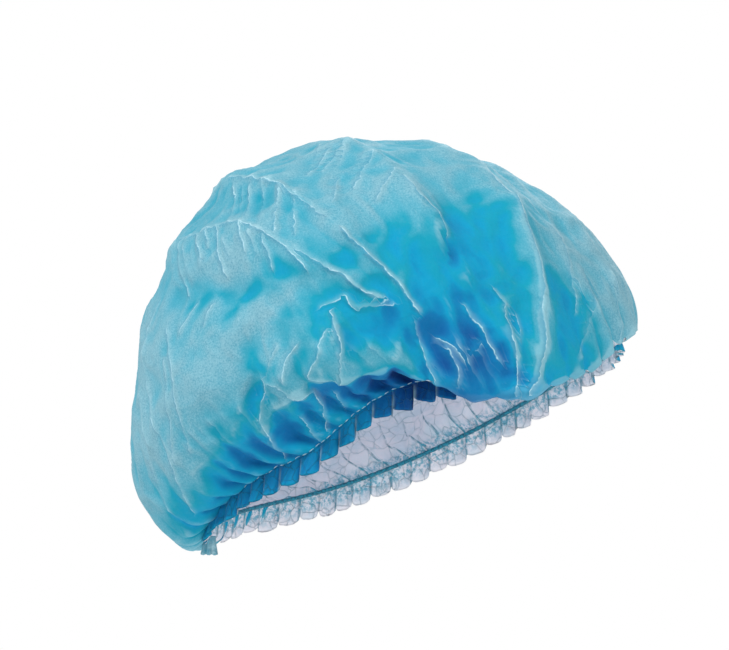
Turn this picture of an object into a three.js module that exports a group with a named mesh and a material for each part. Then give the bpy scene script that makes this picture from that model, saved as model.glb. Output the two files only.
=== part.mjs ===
import * as THREE from 'three';

// A disposable hairnet: a pleated cap of thin non-woven cloth, standing out in the shape that it has when worn.
// Sizes are millimetres. The shape is worked out with the opening level, +X towards the forehead and +Z up
// through the crown, round an origin at the middle of the elastic, and the whole cap is then pitched back.
const OPENING_PITCH = 24;    // degrees that the opening tips up towards the forehead
const CLOTH = 1.2;           // thickness of the crown's wall
const GAP = 0.3;             // clear space between neighbouring pieces

const ELASTIC_LENGTH = 220;  // elastic loop, nape to forehead
const ELASTIC_WIDTH = 162;   // elastic loop, side to side
const ELASTIC_THREAD = 2.6;

const PLEATS = 56;           // pleats that the elastic draws the edge into
const PLEAT_DEPTH = 2.6;     // how far a pleat swings in and out where it is fullest
const PLEAT_RISE = 38;       // height above the elastic at which the pleats have mostly opened out
const PLEAT_SPREAD = 0.074;  // evens the pleats out along the oval loop

const HEM_DROP = 10;         // turned hem below the elastic
const HEM_LEFT_EXTRA = 2;    // how much lower it hangs on the left side
const HEM_FLARE = 2.5;
const HEM_THICKNESS = 1.6;
const HEM_SCALLOP = 1.1;     // how much lower the hem hangs on a pleat than between two
const HEM_LEAN = 0.4;        // the hem hangs plumb, so this part of its drop goes towards the nape

const TAB_THICKNESS = 2.4;   // welded end of the pleated strip, at the nape

// Cross-sections of the crown from the elastic up to the top, each about 24 mm of cloth above the last.
// nape, brow and side say how far the cloth stands out from the middle, and the three rises how high it is.
const CLEAR_OF_ELASTIC = ELASTIC_THREAD / 2 + GAP;
const MOUTH_LENGTH = ELASTIC_LENGTH / 2 + CLEAR_OF_ELASTIC + CLOTH;
const MOUTH_WIDTH = ELASTIC_WIDTH / 2 + CLEAR_OF_ELASTIC + CLOTH;
const SECTIONS = [
  { nape: MOUTH_LENGTH, napeRise: 0, brow: MOUTH_LENGTH, browRise: 0, side: MOUTH_WIDTH, sideRise: 0 },
  { nape: 127, napeRise: -9, brow: 117, browRise: 12, side: 88, sideRise: 13 },
  { nape: 139, napeRise: 12, brow: 124, browRise: 26, side: 104, sideRise: 27 },
  { nape: 138, napeRise: 35, brow: 124, browRise: 43, side: 114, sideRise: 43 },
  { nape: 131, napeRise: 57, brow: 115, browRise: 64, side: 113, sideRise: 65 },
  { nape: 119, napeRise: 79, brow: 102, browRise: 86, side: 105, sideRise: 88 },
  { nape: 105, napeRise: 100, brow: 87, browRise: 108, side: 90, sideRise: 110 },
  { nape: 84, napeRise: 122, brow: 61, browRise: 130, side: 66, sideRise: 131 },
  { nape: 56, napeRise: 142, brow: 24, browRise: 147, side: 36, sideRise: 147 },
  { nape: 20, napeRise: 153, brow: -20, browRise: 153, side: 0, sideRise: 153 },
];
const TOP = SECTIONS.length - 1;

// Places where the loop of elastic leaves its plane: turn is degrees round from the forehead by the left side.
const SAGS = [
  { turn: 314, spread: 27, drop: 6 },
  { turn: 150, spread: 22, drop: -3 },
  { turn: 274, spread: 18, drop: -8 },
  { turn: 248, spread: 10, drop: 2.5 },
  { turn: 88, spread: 45, drop: 3.5 },
];
const SAG_REACH = 2.6;       // sections up which a sag fades out

// On the right side the crown puffs out over its own edge. Each row gives the lip's turn and section number,
// how far it stands out and how far it hangs down.
const LIP = [
  { turn: 246, section: 2.2, out: 0, drop: 0 },
  { turn: 266, section: 1.8, out: 9, drop: 3 },
  { turn: 281, section: 1.4, out: 10, drop: 8 },
  { turn: 289, section: 1.15, out: 9, drop: 17 },
  { turn: 296, section: 1, out: 9, drop: 31 },
  { turn: 305, section: 1, out: 8, drop: 31 },
  { turn: 320, section: 1, out: 7, drop: 30 },
  { turn: 338, section: 1, out: 6, drop: 24 },
  { turn: 352, section: 1, out: 6, drop: 17 },
  { turn: 372, section: 1, out: 3, drop: 9 },
  { turn: 395, section: 1, out: 0, drop: 0 },
];
const LIP_REACH = 1.1;       // sections above the lip over which it fades out

// Folds of the crown. A fold runs from one place to the next, each given as turn in degrees and section number,
// stands out by height (a crease has a negative one), and is left mm wide on its left and right mm on its right.
const FOLDS = [
  { from: [250, 7.2], to: [275, 6.5], height: 6.5, left: 16, right: 7 },
  { from: [275, 6.5], to: [286, 4.5], height: 5.5, left: 14, right: 7 },
  { from: [224, 6.8], to: [256, 5.9], height: 5, left: 15, right: 8 },
  { from: [256, 5.9], to: [277, 4.3], height: 5.5, left: 14, right: 8 },
  { from: [232, 5.5], to: [256, 4.5], height: -4.5, left: 9, right: 9 },
  { from: [306, 7.1], to: [303, 5.8], height: 5.5, left: 7, right: 14 },
  { from: [303, 5.8], to: [301, 4], height: 5, left: 8, right: 14 },
  { from: [269, 4.9], to: [276, 3.9], height: 4.5, left: 8, right: 7 },
  { from: [276, 3.9], to: [287, 2.6], height: 4.5, left: 8, right: 7 },
  { from: [286, 4.4], to: [292, 2.7], height: 4.5, left: 8, right: 8 },
  { from: [272, 2.9], to: [266, 2.1], height: 5, left: 7, right: 8 },
  { from: [333, 5.6], to: [322, 4.2], height: 5, left: 10, right: 14 },
  { from: [322, 4.2], to: [315, 2.3], height: 6.5, left: 9, right: 14 },
  { from: [315, 2.3], to: [304, 0.5], height: 6, left: 9, right: 10 },
  { from: [252, 3.4], to: [250, 2.3], height: -5, left: 8, right: 8 },
  { from: [258, 2.4], to: [262, 1.3], height: 4.5, left: 7, right: 8 },
  { from: [300, 2.9], to: [303, 1.6], height: 4.5, left: 7, right: 7 },
];
const FAR_SIDE_SHIFT = 6;    // the hidden side repeats the folds, this many degrees further forward

const radians = THREE.MathUtils.degToRad;
const cloth = new THREE.MeshStandardMaterial({ color: 0x6cc0da, roughness: 0.85, metalness: 0, side: THREE.DoubleSide });
const hemCloth = new THREE.MeshStandardMaterial({ color: 0x3fa9cc, roughness: 0.85, metalness: 0 });
const elasticThread = new THREE.MeshStandardMaterial({ color: 0x0f7f9d, roughness: 0.6, metalness: 0 });

// The pleats are numbered evenly along the elastic, and this gives the turn round the oval for a place among them.
function turnAt(along) {
  return along + PLEAT_SPREAD * Math.sin(2 * along) + 0.012 * Math.sin(7 * along + 1) + 0.009 * Math.sin(11 * along + 4);
}

function pleatWave(along) {
  return Math.cos(PLEATS * along);
}

function degreesBetween(a, b) {
  return Math.abs(((a - b) % 360 + 540) % 360 - 180);
}

function sagAt(turn) {
  const degrees = THREE.MathUtils.radToDeg(turn);
  let sag = 0;
  for (const { turn: middle, spread, drop } of SAGS) {
    sag -= drop * Math.exp(-((degreesBetween(degrees, middle) / spread) ** 2));
  }
  return sag;
}

// How far the lip shifts the cloth of the crown, out and down.
function lipShift(turn, climb) {
  const start = LIP[0].turn;
  const degrees = start + THREE.MathUtils.euclideanModulo(THREE.MathUtils.radToDeg(turn) - start, 360);
  const next = LIP.findIndex((row) => row.turn > degrees);
  if (next < 1) return { out: 0, down: 0 };
  const [from, to] = [LIP[next - 1], LIP[next]];
  const part = THREE.MathUtils.smoothstep(degrees, from.turn, to.turn);
  const section = THREE.MathUtils.lerp(from.section, to.section, part);
  const strength = climb < section ? (climb / section) ** 3 : Math.exp(-(((climb - section) / LIP_REACH) ** 2));
  return {
    out: strength * THREE.MathUtils.lerp(from.out, to.out, part),
    down: strength * THREE.MathUtils.lerp(from.drop, to.drop, part),
  };
}

// One column of the table of sections, as a smooth curve that carries on over the top to the opposite side.
function sectionValue(column, climb) {
  const opposite = { nape: 'brow', brow: 'nape', napeRise: 'browRise', browRise: 'napeRise' }[column] ?? column;
  const sign = column.endsWith('Rise') ? 1 : -1;
  const row = Math.min(Math.floor(climb), TOP - 1);
  const at = (index) => {
    if (index < 0) return 2 * SECTIONS[0][column] - SECTIONS[1][column];
    if (index > TOP) return sign * SECTIONS[TOP - 1][opposite];
    return SECTIONS[index][column];
  };
  const [before, low, high, after] = [at(row - 1), at(row), at(row + 1), at(row + 2)];
  const part = climb - row;
  const slope = high - before;
  const curve = 2 * before - 5 * low + 4 * high - after;
  const twist = 3 * low - before - 3 * high + after;
  return (2 * low + slope * part + curve * part ** 2 + twist * part ** 3) / 2;
}

// A point of the smooth crown, before its folds and pleats.
function smoothCrown(turn, climb) {
  const nape = sectionValue('nape', climb);
  const brow = sectionValue('brow', climb);
  const forward = Math.cos(turn);
  const sideways = Math.sin(turn);
  const endRise = THREE.MathUtils.lerp(
    sectionValue('napeRise', climb), sectionValue('browRise', climb), (1 + forward) / 2);
  const sagLeft = Math.max(0, 1 - climb / SAG_REACH) ** 2;
  const lip = lipShift(turn, climb);
  return new THREE.Vector3(
    (brow - nape) / 2 + ((brow + nape) / 2 + lip.out) * forward,
    (sectionValue('side', climb) + lip.out) * sideways,
    sectionValue('sideRise', climb) * sideways ** 2 + endRise * forward ** 2 + sagAt(turn) * sagLeft - lip.down);
}

function outwardFrom(turn, climb) {
  const step = 0.01;
  const below = Math.max(climb - step, 0);
  const up = smoothCrown(turn, Math.min(below + 2 * step, TOP)).sub(smoothCrown(turn, below));
  const round = smoothCrown(turn + step, climb).sub(smoothCrown(turn - step, climb));
  return round.cross(up).normalize();
}

function foldEnds(fold, turnSign, shift) {
  const place = ([turn, climb]) => smoothCrown(radians(turnSign * (turn + shift)), climb);
  const start = place(fold.from);
  const run = place(fold.to).sub(start);
  const [leftWidth, rightWidth] = turnSign > 0 ? [fold.left, fold.right] : [fold.right, fold.left];
  return { start, run, length: run.length(), height: fold.height, leftWidth, rightWidth };
}

const crownFolds = FOLDS.flatMap((fold) => [foldEnds(fold, 1, 0), foldEnds(fold, -1, FAR_SIDE_SHIFT)]);

// How far the folds lift the cloth at a point of the smooth crown.
function foldLift(point, outward) {
  let ridge = 0;
  let crease = 0;
  for (const { start, run, length, height, leftWidth, rightWidth } of crownFolds) {
    const offset = point.clone().sub(start);
    const along = THREE.MathUtils.clamp(offset.dot(run) / length ** 2, 0, 1);
    offset.addScaledVector(run, -along);
    const leftOfRun = outward.clone().cross(run).dot(offset) > 0;
    const width = leftOfRun ? leftWidth : rightWidth;
    const lift = height * Math.exp(-((offset.length() / width) ** 2));
    ridge = Math.max(ridge, lift);
    crease = Math.min(crease, lift);
  }
  return ridge + crease;
}

// Pleats are drawn tight at the elastic, fullest a little above it, and open out further up.
function pleatDepth(height) {
  const fullness = Math.min(1, 0.15 + height / 9);
  return PLEAT_DEPTH * fullness * Math.exp(-((height / PLEAT_RISE) ** 2));
}

function crownPoint(along, climb) {
  const turn = turnAt(along);
  const point = smoothCrown(turn, climb);
  if (climb >= TOP) return point;
  const outward = outwardFrom(turn, climb);
  const clothHeight = climb * 24;
  const lift = foldLift(point, outward) * Math.min(1, clothHeight / 14);
  return point.addScaledVector(outward, lift + pleatDepth(clothHeight) * pleatWave(along));
}

// Rings of the crown's mesh: the section number of each and how many points it has.
function crownRings() {
  const perPleat = 4 * PLEATS;
  const rings = [0, 0.4, 0.75, 1.05].map((climb) => ({ climb, count: perPleat }));
  for (let climb = 1.4; climb < 6.6; climb += 0.53) rings.push({ climb, count: perPleat / 2 });
  for (const climb of [7.15, 7.7, 8.15]) rings.push({ climb, count: perPleat / 4 });
  rings.push({ climb: 8.6, count: perPleat / 8 });
  return rings;
}

// Joins a ring of points to the next one up, which has as many points or half as many.
function stitchRings(faces, low, high) {
  const ratio = low.count / high.count;
  for (let i = 0; i < high.count; i += 1) {
    const next = (i + 1) % high.count;
    const lowAt = (step) => low.first + (i * ratio + step) % low.count;
    for (let step = 0; step < ratio; step += 1) faces.push([lowAt(step), lowAt(step + 1), high.first + i]);
    faces.push([lowAt(ratio), high.first + next, high.first + i]);
  }
}

function meshFrom(points, faces) {
  const geometry = new THREE.BufferGeometry();
  geometry.setAttribute('position', new THREE.Float32BufferAttribute(points.flatMap((p) => [p.x, p.y, p.z]), 3));
  geometry.setIndex(faces.flat());
  geometry.computeVertexNormals();
  return geometry;
}

// The crown is one skin of cloth, given its thickness inwards and closed round its foot.
function crownGeometry() {
  const points = [];
  const faces = [];
  const rings = crownRings().map(({ climb, count }) => {
    const first = points.length;
    for (let i = 0; i < count; i += 1) points.push(crownPoint(2 * Math.PI * i / count, climb));
    return { first, count };
  });
  for (let i = 1; i < rings.length; i += 1) stitchRings(faces, rings[i - 1], rings[i]);
  const last = rings.at(-1);
  points.push(crownPoint(0, TOP));
  for (let i = 0; i < last.count; i += 1) {
    faces.push([last.first + i, last.first + (i + 1) % last.count, points.length - 1]);
  }

  const skin = meshFrom(points, faces);
  const normals = skin.getAttribute('normal');
  const inner = points.map((point, i) => (
    point.clone().addScaledVector(new THREE.Vector3().fromBufferAttribute(normals, i), -CLOTH)));
  const shift = points.length;
  const lining = faces.map(([a, b, c]) => [a + shift, c + shift, b + shift]);
  const edge = [];
  for (let i = 0; i < rings[0].count; i += 1) {
    const next = (i + 1) % rings[0].count;
    edge.push([i, i + shift, next], [next, i + shift, next + shift]);
  }
  return meshFrom([...points, ...inner], [...faces, ...lining, ...edge]);
}

// A closed loop along the elastic. section gives, at a place along it, the corners of the cross-section as
// distance out and height, going round so that the faces point out. What hangs below leans by lean of its drop.
function loopGeometry(count, lean, section) {
  const points = [];
  const faces = [];
  let corners = 0;
  for (let i = 0; i < count; i += 1) {
    const along = 2 * Math.PI * i / count;
    const turn = turnAt(along);
    const middle = new THREE.Vector3(
      ELASTIC_LENGTH / 2 * Math.cos(turn), ELASTIC_WIDTH / 2 * Math.sin(turn), sagAt(turn));
    const out = new THREE.Vector3(
      ELASTIC_WIDTH * Math.cos(turn), ELASTIC_LENGTH * Math.sin(turn), 0).normalize();
    const outline = section(along);
    corners = outline.length;
    for (const [distance, height] of outline) {
      const sideways = lean * Math.min(0, height + CLEAR_OF_ELASTIC);
      points.push(middle.clone().addScaledVector(out, distance).add(new THREE.Vector3(sideways, 0, height)));
    }
  }
  for (let i = 0; i < count; i += 1) {
    const here = i * corners;
    const there = (i + 1) % count * corners;
    for (let k = 0; k < corners; k += 1) {
      const next = (k + 1) % corners;
      faces.push([here + k, there + k, there + next], [here + k, there + next, here + next]);
    }
  }
  return meshFrom(points, faces);
}

function elasticGeometry() {
  const sides = 5;
  return loopGeometry(1.5 * PLEATS, 0, () => Array.from({ length: sides }, (_, k) => {
    const angle = 2 * Math.PI * (k + 0.75) / sides;
    return [ELASTIC_THREAD / 2 * Math.cos(angle), ELASTIC_THREAD / 2 * Math.sin(angle)];
  }));
}

function hemGeometry() {
  return loopGeometry(4 * PLEATS, HEM_LEAN, (along) => {
    const wave = pleatWave(along);
    const flare = HEM_FLARE + 0.8 * PLEAT_DEPTH * wave;
    const drop = -HEM_DROP - HEM_LEFT_EXTRA * Math.max(0, Math.sin(along)) - HEM_SCALLOP * wave;
    const half = HEM_THICKNESS / 2;
    return [[flare - half, drop], [flare + half, drop], [half, -CLEAR_OF_ELASTIC], [-half, -CLEAR_OF_ELASTIC]];
  });
}

// The welded tail of the strip: a flat fin behind the hem, hanging a little below it.
function tabGeometry() {
  const fin = new THREE.Shape();
  fin.moveTo(-116.9, -7.6);
  fin.lineTo(-120.4, -11.8);
  fin.lineTo(-118.5, -18);
  fin.lineTo(-124.5, -19);
  fin.lineTo(-126, -13.5);
  fin.lineTo(-121, -9.6);
  fin.closePath();
  const geometry = new THREE.ExtrudeGeometry(fin, { depth: TAB_THICKNESS, bevelEnabled: false });
  geometry.translate(0, 0, -TAB_THICKNESS / 2);
  geometry.rotateX(Math.PI / 2);
  return geometry;
}

function piece(name, geometry, material) {
  const mesh = new THREE.Mesh(geometry, material);
  mesh.name = name;
  return mesh;
}

const cap = new THREE.Group();
cap.rotation.y = radians(-OPENING_PITCH);
cap.add(piece('crown', crownGeometry(), cloth));
cap.add(piece('hem_frill', hemGeometry(), hemCloth));
cap.add(piece('elastic_band', elasticGeometry(), elasticThread));
cap.add(piece('back_tab', tabGeometry(), hemCloth));

const hairnet = new THREE.Group();
hairnet.add(cap);

export default hairnet;
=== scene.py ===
import math

import bpy
import numpy as np
from mathutils import Matrix, Vector, noise


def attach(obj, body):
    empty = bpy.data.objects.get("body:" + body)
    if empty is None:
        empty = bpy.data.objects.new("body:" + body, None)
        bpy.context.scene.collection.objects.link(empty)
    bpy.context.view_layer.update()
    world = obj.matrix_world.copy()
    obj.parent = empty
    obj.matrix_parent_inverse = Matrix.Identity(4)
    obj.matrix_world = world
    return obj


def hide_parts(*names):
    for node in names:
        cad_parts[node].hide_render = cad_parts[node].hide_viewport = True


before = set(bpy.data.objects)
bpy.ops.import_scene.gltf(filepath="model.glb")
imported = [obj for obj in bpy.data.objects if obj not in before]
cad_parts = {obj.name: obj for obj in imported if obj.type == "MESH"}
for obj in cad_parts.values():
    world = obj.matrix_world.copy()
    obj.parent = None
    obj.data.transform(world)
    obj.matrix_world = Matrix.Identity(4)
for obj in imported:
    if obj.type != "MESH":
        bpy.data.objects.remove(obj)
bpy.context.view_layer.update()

# The dressed hairnet: the cap of the frame's solids as thin crumpled cloth, with some sections, folds and
# the lip a few millimetres nearer to the photo. Its shape is worked out in millimetres with the opening
# level, +X to the forehead, round the middle of the elastic, then pitched back and turned to metres. A turn
# goes round from the forehead by the wearer's left, and a section counts the cloth up from the elastic.
MM = 0.001
OPENING_PITCH = math.radians(24)
DOWN = np.array([-math.sin(OPENING_PITCH), 0, -math.cos(OPENING_PITCH)])
SKIN = 0.3                      # thickness of the shown cloth

# The photo's scale, and the camera that stands where the photo was taken from.
PHOTO_WIDTH = 729               # pixels
PIXEL = 0.5                     # millimetres
PHOTO_MIDDLE = (-0.0245, 0.051)  # metres to the right of the middle of the elastic, and above it
CAMERA_AZIMUTH = math.radians(9.3)
CAMERA_ELEVATION = math.radians(-7.8)
CAMERA_DISTANCE = 1.3
SENSOR = 36

ELASTIC_LENGTH = 220
ELASTIC_WIDTH = 162
ELASTIC_THREAD = 2.2
PLEATS = 56
PLEAT_SPREAD = 0.074            # keeps the pleats even along the oval
PLEAT_SHIFTS = [(7, 0.012, 1), (11, 0.009, 4)]      # slight unevenness: waves round, radians and phase
HEM_LENGTH = 10.0
HEM_LEFT_EXTRA = 2.0            # the hem hangs lower on the left side
HEM_FLARE = 2.0
HEM_GAP = 1.6                   # from the middle of the elastic to the outside of the hem
HEM_THICKNESS = 0.7             # the doubled hem
HEM_SCALLOP = 0.8               # how much longer a pleat is in its middle than at its edges
HEM_UNEVENNESS = 0.9            # how much the lengths of the pleats differ
SECTION_STEP = 24               # cloth between one section and the next

# Sections of the smooth crown, from the elastic to the top: how far out the cloth is, and how high.
COLUMNS = ("nape", "nape_rise", "brow", "brow_rise", "side", "side_rise")
SECTION_ROWS = [
    (111.6, 0, 111.6, 0, 82.6, 0),
    (127, -9, 114, 12, 88, 13),
    (138, 12, 123, 25, 104, 27),
    (138, 35, 123, 43, 114, 43),
    (130, 57, 115, 64, 113, 65),
    (117, 79, 102, 86, 105, 88),
    (103, 100, 87, 108, 90, 110),
    (81, 122, 61, 130, 66, 131),
    (54, 141, 24, 147, 36, 147),
    (20, 153, -20, 153, 0, 153),
]
SECTIONS = dict(zip(COLUMNS, np.array(SECTION_ROWS, float).T))
OPPOSITE = {"nape": "brow", "brow": "nape", "nape_rise": "brow_rise", "brow_rise": "nape_rise"}
TOP = len(SECTION_ROWS) - 1

# Where the elastic leaves its plane: turn and spread in degrees, and drop. The cloth above follows it, less
# and less up to SAG_REACH, a section.
SAGS = [(314, 27, 6), (150, 22, -3), (274, 18, -8), (248, 10, 2.5), (88, 45, 3.5)]
SAG_REACH = 2.6

# The lip where the crown hangs over its own edge on the right side: turn, section, how far out and down.
LIP = np.array([
    (246, 2.2, 0, 0),
    (264, 1.8, 9, 3),
    (277, 1.45, 10, 7),
    (285, 1.15, 9, 18),
    (291, 1.0, 9, 27),
    (298, 1.0, 9, 30),
    (305, 1.0, 8, 31),
    (320, 1.0, 7, 30),
    (338, 1.0, 6, 22),
    (352, 1.0, 6, 17),
    (372, 1.0, 4, 12),
    (395, 1.0, 0, 0),
])
LIP_REACH = 1.1

# Folds of the crown: from and to as (turn in degrees, section), height, width to the left and to the right,
# and how sharp the crest is, from 1 for a knife edge to 2 for a round one.
FOLDS = [
    ((252, 7.5), (272, 6.5), 4.5, 16, 7, 1.5),
    ((272, 6.5), (282, 4.6), 5.5, 14, 7, 1.4),
    ((224, 6.7), (256, 6), 4, 15, 8, 1.5),
    ((256, 6), (275, 4.2), 5, 14, 8, 1.4),
    ((232, 5.5), (256, 4.5), -4.5, 9, 9, 2),
    ((306, 7.1), (303, 5.8), 5.5, 7, 14, 1.4),
    ((303, 5.8), (301, 4.0), 5, 8, 14, 1.4),
    ((275, 4.2), (281, 3.2), 4.5, 8, 7, 1.2),
    ((282, 4.6), (288, 2.6), 4.5, 8, 8, 1.3),
    ((272, 2.9), (266, 2.1), 5, 7, 8, 1.2),
    ((333, 5.6), (325, 4.2), 5, 10, 14, 1.5),
    ((325, 4.2), (315, 2.3), 6, 9, 14, 1.3),
    ((315, 2.3), (303, 1), 6, 9, 10, 1.3),
    ((252, 3.4), (250, 2.3), -5, 8, 8, 1.6),
    ((258, 2.4), (262, 1.3), 4.5, 7, 8, 1.2),
    ((300, 2.9), (303, 1.6), 4.5, 7, 7, 1.2),
]
FAR_SIDE_SHIFT = 6              # the far side has the same folds, this many degrees further round

# Thin creases that only the cloth shows: height, then the places they run through as turn and section.
CREASES = [
    (2.4, [(275, 4.1), (278, 3.7), (280, 3.3), (283, 3.1)]),
    (1.6, [(271, 3.4), (276, 3.4), (277, 3.1), (284, 2.9)]),
    (2.4, [(282, 4.6), (284, 4.0), (286, 3.6), (287, 3.2), (288, 2.6)]),
    (1.5, [(303, 5.3), (303, 4.7), (304, 4.3), (302, 3.8)]),
    (2.0, [(328, 4.9), (325, 4.2), (321, 3.4), (319, 2.9), (315, 2.3)]),
    (2.6, [(315, 2.3), (311, 1.9), (309, 1.6), (306, 1.4), (302, 1.1)]),
    (2.2, [(305, 2.5), (306, 2.3), (304, 2.1), (303, 1.8), (302, 1.5), (299, 1.1)]),
    (1.6, [(307, 2.1), (306, 1.9), (303, 1.7)]),
    (1.8, [(297, 2.4), (298, 2.1), (298, 1.9), (299, 1.6)]),
    (1.8, [(297, 1.9), (292, 1.7), (291, 1.9), (289, 2.1)]),
    (1.6, [(286, 2.4), (285, 2.0), (285, 1.7), (285, 1.3)]),
    (1.8, [(290, 1.9), (290, 1.6), (289, 1.4)]),
    (2.8, [(272, 3.2), (272, 2.9), (271, 2.4), (268, 1.7)]),
    (2.0, [(270, 2.9), (266, 2.4), (263, 2.1)]),
    (1.6, [(263, 2.0), (266, 1.8), (268, 1.7)]),
    (1.8, [(263, 2.9), (261, 2.8), (258, 2.3)]),
    (1.8, [(265, 1.3), (263, 0.6)]),
    (1.8, [(257, 1.9), (260, 1.8), (262, 1.6), (261, 1.2), (259, 0.8), (256, 0.3)]),
    (1.8, [(255, 1.1), (252, 0.2)]),
    (1.6, [(259, 3.1), (253, 2.4), (248, 1.7), (246, 1.1), (243, 0.4)]),
    (1.6, [(253, 2.5), (256, 2.2), (258, 1.8)]),
    (1.5, [(229, 4.8), (231, 3.9), (230, 3.0), (228, 2.1)]),
    (1.5, [(228, 4.2), (226, 3.0), (222, 2.2)]),
    (1.5, [(217, 4.2), (219, 3.4), (221, 2.5), (219, 1.8), (213, 1.2)]),
    (1.6, [(239, 5.0), (234, 4.6)]),
    (1.6, [(245, 4.7), (242, 4.4)]),
    (1.4, [(210, 2.7), (207, 1.6)]),
    (1.5, [(256, 7.4), (264, 7.0), (268, 6.7), (273, 6.3), (276, 5.8), (280, 5.1)]),
    (1.5, [(231, 6.7), (242, 6.4), (251, 6.2), (259, 5.9), (264, 5.4), (269, 4.8), (275, 4.1)]),
    (1.7, [(231, 6.6), (235, 5.4)]),
    (2.0, [(241, 6.4), (245, 5.7)]),
    (1.6, [(246, 6.3), (247, 5.9)]),
    (2.2, [(251, 6.1), (251, 5.1)]),
    (1.9, [(259, 5.8), (259, 5.2)]),
    (1.9, [(264, 5.2), (264, 4.6)]),
    (2.0, [(269, 4.8), (271, 4.2)]),
    (1.8, [(273, 6.3), (268, 5.2)]),
    (1.6, [(274, 5.5), (272, 5.0)]),
    (1.6, [(296, 6.9), (283, 6.4)]),
    (1.6, [(304, 6.9), (288, 6.4)]),
    (1.6, [(303, 6.2), (291, 5.6)]),
    (1.5, [(303, 5.6), (294, 5.1)]),
    (1.4, [(289, 6.0), (284, 5.4)]),
    (1.4, [(334, 3.4), (329, 2.6), (323, 1.9)]),
    (1.4, [(333, 2.4), (330, 1.9), (319, 1.4)]),
    (1.4, [(336, 4.6), (332, 3.2)]),
    (1.4, [(346, 3.8), (341, 1.8), (338, 1.2)]),
    (1.4, [(212, 4.0), (214, 3.0)]),
    (1.4, [(219, 5.8), (216, 5.3), (215, 4.6)]),
]

# Rows of short ripples under a ridge: first and last top, first and last foot, how many and how high.
COMBS = [
    ((254, 7.3), (279, 6.0), (254, 6.1), (272, 5.0), 6, 2.5),
    ((231, 6.6), (264, 5.5), (236, 5.5), (264, 4.7), 7, 1.4),
    ((300, 7.6), (304, 6.2), (288, 7.0), (290, 5.6), 4, 1.6),
    ((267, 2.5), (298, 1.9), (270, 1.7), (299, 1.1), 8, 1.4),
    ((228, 2.6), (258, 2.2), (232, 1.5), (256, 1.2), 8, 1.2),
    ((326, 2.4), (352, 2.2), (323, 1.2), (350, 1.0), 7, 1.5),
]

# How near a crease its line is drawn, and the height of a crease that is drawn in full.
CREASE_REACH = 2.4
FULL_CREASE = 2.4
NO_CREASE = 9.0                 # a distance at which no line is drawn

# Small crumples all over the cloth: size and height.
CRUMPLES = [(58, 2.8), (27, 1.7), (12, 0.8)]

# Waves of the gathers at the foot of the crown: height, and how far up the cloth they fade.
PLEAT_WAVE = (2.8, 33)
TWO_PLEAT_WAVE = (1.1, 48)
FOUR_PLEAT_WAVE = (1.0, 80)

# The elastic pinches the cloth flat: how far up the folds, the pleats and the broad waves come in.
FOLDS_FULL = 16
PLEATS_FULL = 9
WAVES_FULL = 30
PINCHED_PLEATS = 0.15           # the share of a pleat's height that is left at the elastic

# Rings of points of the crown: up to which section, how many points, and the sections from ring to ring.
FULL_RING = 10 * PLEATS
RING_BANDS = [
    (7.6, FULL_RING, 0.09),
    (8.4, FULL_RING // 4, 0.1),
    (8.72, FULL_RING // 8, 0.08),
    (8.93, FULL_RING // 16, 0.07),
]

# The tab at the nape.
TAB_TOP = np.array([-116.5, 0, -6.6])
TAB_FOOT = np.array([-120.6, 0, -15.2])
TAB_TOP_WIDTH = 6.0
TAB_FOOT_WIDTH = 9.0
TAB_THICKNESS = 0.45
TAB_GATHERS = 3

# The stitches, along the elastic and a little way up the cloth.
STITCH_LENGTH = 2.3
STITCH_PITCH = 3.5
STITCH_THICKNESS = 0.5
STITCH_SECTION = 0.055

FLOOR_RADIUS = 3.0
FLOOR_LEVEL = -0.24

# How deep the blue looks, partly from layers of cloth and partly painted light and shade: from 0 where the
# cloth is painted frosted pale as a sheen where light falls, to 1 where layers lie together in painted
# shade:
# turn, section, how wide in degrees, how tall in sections, and the depth there. A later row covers earlier
# ones.
PATCHES = [
    (262, 3.6, 9, 0.5, 0.06),
    (253, 5.2, 10, 0.5, 0.08),
    (244, 3.7, 8, 0.8, 0.13),
    (233, 1.8, 6, 0.4, 0.14),
    (223, 4.0, 12, 1.6, 0.12),
    (211, 4.0, 7, 2.0, 0.0),
    (240, 4.9, 8, 0.2, 0.34),
    (254, 4.5, 7, 0.22, 0.38),
    (266, 4.3, 6, 0.3, 0.44),
    (278, 4.4, 7, 0.45, 0.47),
    (273, 3.3, 11, 0.5, 0.45),
    (279, 2.7, 10, 0.6, 0.5),
    (262, 2.3, 11, 0.45, 0.38),
    (252, 2.8, 3, 0.5, 0.46),
    (249, 2.2, 4, 0.3, 0.46),
    (300, 3.4, 16, 1.1, 0.56),
    (311, 3.7, 11, 0.7, 0.5),
    (290, 2.5, 9, 0.5, 0.64),
    (298, 1.8, 9, 0.6, 0.8),
    (291, 1.6, 8, 0.4, 0.82),
    (304, 0.8, 14, 0.6, 0.62),
    (319, 1.6, 10, 0.9, 0.52),
    (281, 0.7, 16, 0.8, 0.95),
    (269, 1.0, 10, 0.6, 0.78),
    (260, 1.0, 10, 0.6, 0.62),
    (241, 1.0, 14, 0.9, 0.68),
    (226, 0.8, 12, 0.7, 0.64),
    (209, 1.0, 12, 0.8, 0.54),
    (332, 2.9, 9, 1.0, 0.14),
    (348, 2.6, 14, 2.0, 0.12),
    (290, 5.3, 12, 0.6, 0.14),
    (318, 6.0, 24, 1.0, 0.22),
]


def turn_at(along):
    """The turn round the oval for a place along the elastic, where the pleats are even."""
    turn = along + PLEAT_SPREAD * np.sin(2 * along)
    for waves, amount, phase in PLEAT_SHIFTS:
        turn = turn + amount * np.sin(waves * along + phase)
    return turn


def sag_at(turn):
    """How far the elastic lies above its plane, below 0 where it sags."""
    degrees = np.degrees(turn)
    sag = 0
    for middle, spread, drop in SAGS:
        apart = np.abs((degrees - middle + 540) % 360 - 180)
        sag = sag - drop * np.exp(-((apart / spread) ** 2))
    return sag


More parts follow.
